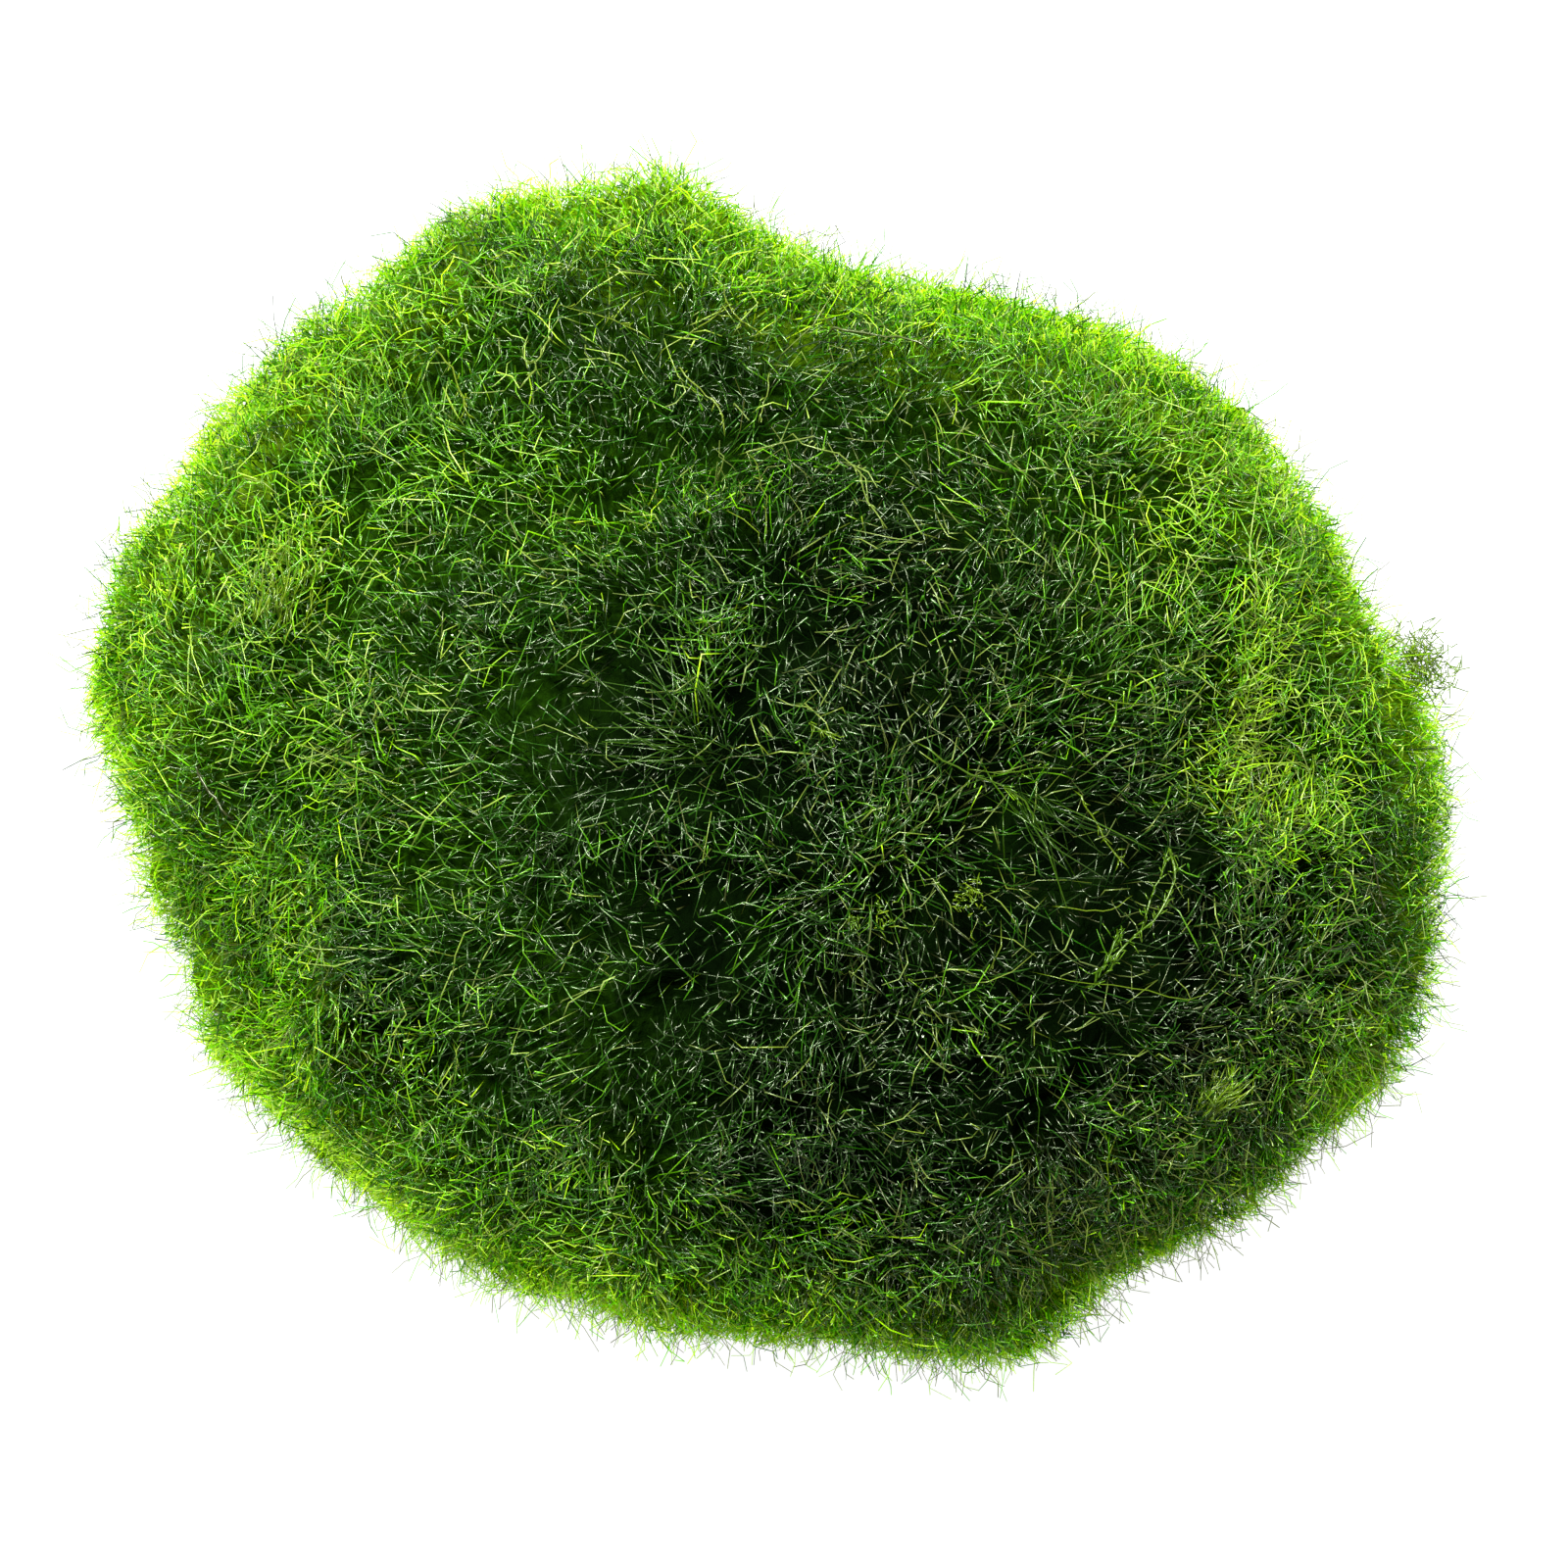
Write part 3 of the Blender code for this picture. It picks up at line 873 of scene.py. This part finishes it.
# Strands that stand out one by one: the way each takes in the picture, in mm from its middle, how
# thick it is, its tone, how far above the others it lies and how many small hairs grow along it
strandSet = {
    "forkedTwig": {
        "way": [
            (12.0, -7.5), (12.4, -6.4), (12.8, -6.0), (13.4, -5.5),
            (14.1, -4.8), (14.5, -4.1), (14.7, -3.2), (14.5, -2.4),
        ],
        "thick": 0.13, "tone": 0.46, "above": 0.25, "hairs": 40,
    },
    "twigFork": {
        "way": [(13.4, -5.5), (13.6, -4.6), (14.0, -3.7), (14.4, -2.7)],
        "thick": 0.1, "tone": 0.45, "above": 0.25, "hairs": 14,
    },
    "twigFoot": {
        "way": [(11.4, -7.8), (11.9, -7.0), (12.4, -6.1), (12.6, -5.5)],
        "thick": 0.13, "tone": 0.43, "above": 0.15, "hairs": 30,
    },
    "knobbly": {
        "way": [(10.9, -0.1), (11.5, -1.1), (12.0, -2.0), (12.5, -2.7), (13.0, -3.2)],
        "thick": 0.09, "tone": 0.52, "above": 0.25, "hairs": 12,
    },
    "branchStem": {
        "way": [(4.9, 1.7), (5.9, 0.9), (6.8, 0.5), (7.7, 0.1), (8.9, -0.4), (9.7, -1.7)],
        "thick": 0.09, "tone": 0.44, "above": 0.15, "hairs": 12,
    },
    "branchArm": {
        "way": [(6.8, 0.5), (8.5, 0.4), (9.8, 0.7), (10.9, 0.5)],
        "thick": 0.06, "tone": 0.46, "above": 0.15, "hairs": 6,
    },
    "oliveArch": {
        "way": [(9.8, 4.3), (11.1, 3.5), (12.2, 3.1), (13.7, 3.0), (14.3, 3.1)],
        "thick": 0.07, "tone": 0.5, "above": 0.15, "hairs": 6,
    },
    "rightArch": {
        "way": [(14.6, 4.4), (15.5, 4.7), (16.5, 5.0)],
        "thick": 0.06, "tone": 0.62, "above": 0.2, "hairs": 2,
    },
    "rightCurl": {
        "way": [(14.9, 0.7), (15.4, 0.1), (16.1, -0.2), (16.8, -1.1), (17.2, -1.7)],
        "thick": 0.07, "tone": 0.6, "above": 0.2, "hairs": 4,
    },
    "whiteCurve": {
        "way": [(10.0, -4.6), (11.1, -4.8), (12.2, -4.8), (13.1, -4.2)],
        "thick": 0.05, "tone": 0.56, "above": 0.3, "hairs": 0,
    },
    "longPale": {
        "way": [
            (9.2, -7.1), (10.7, -7.4), (12.3, -7.5), (13.8, -7.8),
            (14.8, -8.2), (15.8, -8.0), (16.4, -7.4),
        ],
        "thick": 0.05, "tone": 0.52, "above": 0.3, "hairs": 0,
    },
    "paleFork": {
        "way": [(-8.7, 16.9), (-9.2, 16.1), (-9.4, 15.4), (-10.0, 14.8)],
        "thick": 0.09, "tone": 0.72, "above": 0.3, "hairs": 10,
    },
    "leftOfFork": {
        "way": [(-13.3, 16.6), (-12.5, 15.7), (-12.2, 14.8), (-11.9, 13.8)],
        "thick": 0.1, "tone": 0.6, "above": 0.2, "hairs": 14,
    },
    "valleyBar": {
        "way": [(-4.1, 15.9), (-3.5, 15.1), (-2.7, 14.4), (-2.3, 13.8), (-2.2, 13.1)],
        "thick": 0.08, "tone": 0.66, "above": 0.25, "hairs": 6,
    },
    "crownV": {
        "way": [(-2.4, 18.9), (-2.2, 18.1), (-1.8, 17.5), (-0.9, 16.9)],
        "thick": 0.07, "tone": 0.62, "above": 0.2, "hairs": 6,
    },
    "crownVArm": {
        "way": [(-4.9, 16.1), (-3.6, 16.9), (-2.6, 17.6), (-2.2, 18.1)],
        "thick": 0.06, "tone": 0.62, "above": 0.2, "hairs": 4,
    },
    "tanCurl": {
        "way": [
            (-0.2, 13.3), (0.5, 13.0), (0.8, 12.5), (1.7, 12.4),
            (2.4, 12.0), (2.9, 11.4), (3.1, 10.4), (3.9, 9.6),
        ],
        "thick": 0.07, "tone": 0.74, "above": 0.3, "hairs": 12,
    },
    "rimStem": {
        "way": [(1.4, 17.2), (2.7, 17.0), (4.1, 16.8), (5.5, 16.5)],
        "thick": 0.13, "tone": 0.93, "above": 0.1, "hairs": 8,
    },
    "shortPale": {
        "way": [(-0.6, 15.6), (-0.6, 14.7), (-0.9, 13.6)],
        "thick": 0.07, "tone": 0.72, "above": 0.25, "hairs": 2,
    },
    "hook": {
        "way": [(-1.7, 12.5), (-1.1, 12.1), (-0.8, 10.8), (-0.7, 9.4)],
        "thick": 0.05, "tone": 0.66, "above": 0.3, "hairs": 3,
    },
    "crownLow": {
        "way": [(-8.8, 18.1), (-7.7, 17.8), (-6.6, 17.5), (-5.1, 16.8)],
        "thick": 0.06, "tone": 0.64, "above": 0.2, "hairs": 6,
    },
    "whiteCurl": {
        "way": [(-2.1, 1.3), (-1.5, 1.5), (-0.9, 1.6), (-0.5, 1.1)],
        "thick": 0.05, "tone": 0.62, "above": 0.3, "hairs": 0,
    },
    "limeBit": {
        "way": [(0.9, 2.4), (1.5, 2.0), (2.1, 1.8)],
        "thick": 0.1, "tone": 0.5, "above": 0.2, "hairs": 10,
    },
    "leftTwig": {
        "way": [(-22.3, 0.8), (-21.9, 0.0), (-21.4, -0.7), (-20.9, -1.4)],
        "thick": 0.14, "tone": 0.99, "above": 0.0, "hairs": 0,
    },
    "leftPale1": {
        "way": [(-18.6, 1.8), (-17.4, 1.3), (-15.9, 0.7), (-14.4, 0.0)],
        "thick": 0.06, "tone": 0.66, "above": 0.3, "hairs": 2,
    },
    "leftPale2": {
        "way": [(-18.3, 1.0), (-17.0, 0.8), (-15.5, 0.1), (-14.1, -1.0)],
        "thick": 0.05, "tone": 0.66, "above": 0.3, "hairs": 2,
    },
    "leftCurl": {
        "way": [(-15.4, 2.1), (-15.2, 2.9), (-14.7, 3.2), (-14.2, 2.9), (-14.1, 2.2)],
        "thick": 0.06, "tone": 0.7, "above": 0.35, "hairs": 0,
    },
    "brownStem": {
        "way": [(22.1, -2.5), (22.3, -3.7), (22.6, -4.8)],
        "thick": 0.1, "tone": 0.99, "above": 0.1, "hairs": 2,
    },
}

# Small clumps of short kinked filaments: place in the picture and size across in mm, how many, tone,
# length and how deep they start in mm, how much they kink, and the way that they point in the
# picture, where they share one (0 is right, 90 is up)
clumpSet = {
    "limeClump": {
        "at": (7.0, -4.3), "across": 0.6, "count": 60, "tone": 0.52,
        "length": 0.4, "sink": 0.1, "kink": 1.0, "towards": None,
    },
    "smallClump": {
        "at": (3.8, -5.0), "across": 0.5, "count": 30, "tone": 0.5,
        "length": 0.35, "sink": 0.1, "kink": 1.0, "towards": None,
    },
    "middleClump": {
        "at": (2.6, -5.2), "across": 0.4, "count": 20, "tone": 0.46,
        "length": 0.35, "sink": 0.1, "kink": 1.0, "towards": None,
    },
    "lowBrush": {
        "at": (16.2, -12.7), "across": 0.5, "count": 80, "tone": 0.5,
        "length": 1.4, "sink": 0.3, "kink": 0.3, "towards": 92,
    },
    "frizzyTuft": {
        "at": (23.9, 4.4), "across": 1.3, "count": 300, "tone": 0.5,
        "length": 0.8, "sink": -0.2, "kink": 1.3, "towards": None,
    },
    "branchFan": {
        "at": (8.9, -0.4), "across": 0.8, "count": 34, "tone": 0.27,
        "length": 3.0, "sink": 0.3, "kink": 0.3, "towards": 315,
    },
    "leftFan": {
        "at": (-2.6, 1.2), "across": 1.0, "count": 30, "tone": 0.26,
        "length": 3.4, "sink": 0.3, "kink": 0.3, "towards": 165,
    },
    "upperFan": {
        "at": (-2.8, 1.6), "across": 1.0, "count": 24, "tone": 0.26,
        "length": 3.2, "sink": 0.3, "kink": 0.3, "towards": 120,
    },
    "leftBand": {
        "at": (-19.5, 6.5), "across": 1.6, "count": 110, "tone": 0.52,
        "length": 1.3, "sink": 0.3, "kink": 0.3, "towards": 80,
    },
}
standoutSet = {
    "seed": 900, "joints": 11,
    "wobble": 0.03 * mm,                 # of a strand's inner points
    "startDepth": 0.6 * mm, "endDepth": 0.2 * mm,    # both ends go down into the moss
    "radius": 0.4, "knobs": 0.25, "end": 0.6,        # in thicknesses, how much it differs, and its end
    "hairLength": 0.45 * mm, "hairKink": 0.5, "hairSpread": 0.75, "hairRise": 0.3, "hairStart": 0.3 * mm,
    "hairRadius": 0.028 * mm, "hairEnd": 0.7, "hairLengths": 0.3,
    "strandHeight": 0.54, "hairHeight": 0.6,         # how light they are, as along a filament
    "clumpFlat": 0.5, "clumpRise": 0.4, "fanRise": 0.15, "fanSpread": 0.3,
    "clumpTones": 0.04, "toneRange": (0.1, 0.8),
}


def smoothWay(points, count, fine=60, rounds=6):
    # a smooth line of count points through the given ones
    points = np.array(points)
    steps = np.linalg.norm(np.diff(points, axis=0), axis=1)
    along = np.concatenate([[0], np.cumsum(steps)])
    at = np.linspace(0, along[-1], fine)
    line = np.stack([np.interp(at, along, points[:, i]) for i in range(3)], 1)
    for _ in range(rounds):
        line[1:-1] = (line[:-2] + 2 * line[1:-1] + line[2:]) / 4
    return line[np.linspace(0, fine - 1, count).round().astype(int)]


def growStrand(strand, s, draw):
    # one strand's line, and the roots and ways of the small hairs along it
    seen = [seenFromAbove(x, y) for x, y in strand["way"]]
    line = smoothWay([place + normal * strand["above"] * mm for place, normal in seen], s["joints"])
    normal = unit(sum(normal for _, normal in seen))
    line[1:-1] += draw.normal(size=(s["joints"] - 2, 3)) * s["wobble"]
    line[0] -= normal * (strand["above"] * mm + s["startDepth"])
    line[-1] -= normal * s["endDepth"]
    count = strand["hairs"]
    at = draw.integers(1, s["joints"] - 1, count)
    along = unit(line[at + 1] - line[at])
    roots = line[at] + along * draw.uniform(0, s["hairStart"], (count, 1))
    ways = unit(along + s["hairSpread"] * draw.normal(size=(count, 3)) + s["hairRise"] * normal)
    return line, roots, ways


def shortHairs(roots, ways, length, kink, s, draw):
    # hairs of two joints, each with a kink
    lengths = length * np.exp(s["hairLengths"] * draw.normal(size=(len(roots), 1)))
    middle = roots + 0.5 * lengths * ways
    bent = unit(ways + kink * draw.normal(size=ways.shape))
    return np.stack([roots, middle, middle + 0.5 * lengths * bent], 1)


def growClump(clump, s, draw):
    place, normal = seenFromAbove(*clump["at"])
    size = (clump["count"], 3)
    offsets = draw.normal(size=size) * clump["across"] / 2 * mm
    offsets -= s["clumpFlat"] * (offsets @ normal)[:, None] * normal
    anyhow = draw.normal(size=size)
    if clump["towards"] is None:
        ways = unit(anyhow + s["clumpRise"] * normal)
    else:
        fan = unit(alongSurface(levelWay(clump["towards"]), normal))
        ways = unit(fan + s["fanSpread"] * anyhow + s["fanRise"] * normal)
    roots = place + offsets - clump["sink"] * mm * normal
    return shortHairs(roots, ways, clump["length"] * mm, clump["kink"], s, draw)


def makeStandouts(s, material):
    draw = np.random.default_rng(s["seed"])
    lines, radii, tones, hairs, hairTones = [], [], [], [], []
    for strand in strandSet.values():
        line, roots, ways = growStrand(strand, s, draw)
        lines.append(line)
        knobs = 1 + s["knobs"] * draw.uniform(-1, 1, s["joints"] - 1)
        knobs[-1] = s["end"]
        radii.append(s["radius"] * strand["thick"] * mm * knobs)
        tones.append(strand["tone"])
        hairs.append(shortHairs(roots, ways, s["hairLength"], s["hairKink"], s, draw))
        hairTones += [strand["tone"]] * strand["hairs"]
    for clump in clumpSet.values():
        hairs.append(growClump(clump, s, draw))
        clumpTones = clump["tone"] + s["clumpTones"] * draw.normal(size=clump["count"])
        hairTones += list(np.clip(clumpTones, *s["toneRange"]))
    lines, hairs = insideBox(np.array(lines)), insideBox(np.concatenate(hairs))
    thin = np.full((len(hairs), 2), s["hairRadius"])
    thin[:, 1] *= s["hairEnd"]
    for name, ways, thickness, tone, light in (
            ("moss_single_strands", lines, np.array(radii), tones, s["strandHeight"]),
            ("moss_clumps", hairs, thin, hairTones, s["hairHeight"])):
        height = np.full(ways.shape[:2], light)
        keep(name, filamentMesh(name, ways, thickness, np.array(tone), height, material))
    print("single strands:", len(lines), "hairs in clumps:", len(hairs))


makeMat(matSet)
print("mat: made")
frontTones = makeFrontTones()
mossFilament = filamentMaterial("moss filament", filamentLook, frontTones)
mossFuzz = filamentMaterial("moss fuzz", fuzzLook, frontTones)
makeFilaments(mossFilament, mossFuzz)
makeStandouts(standoutSet, mossFilament)
ballShape.free()
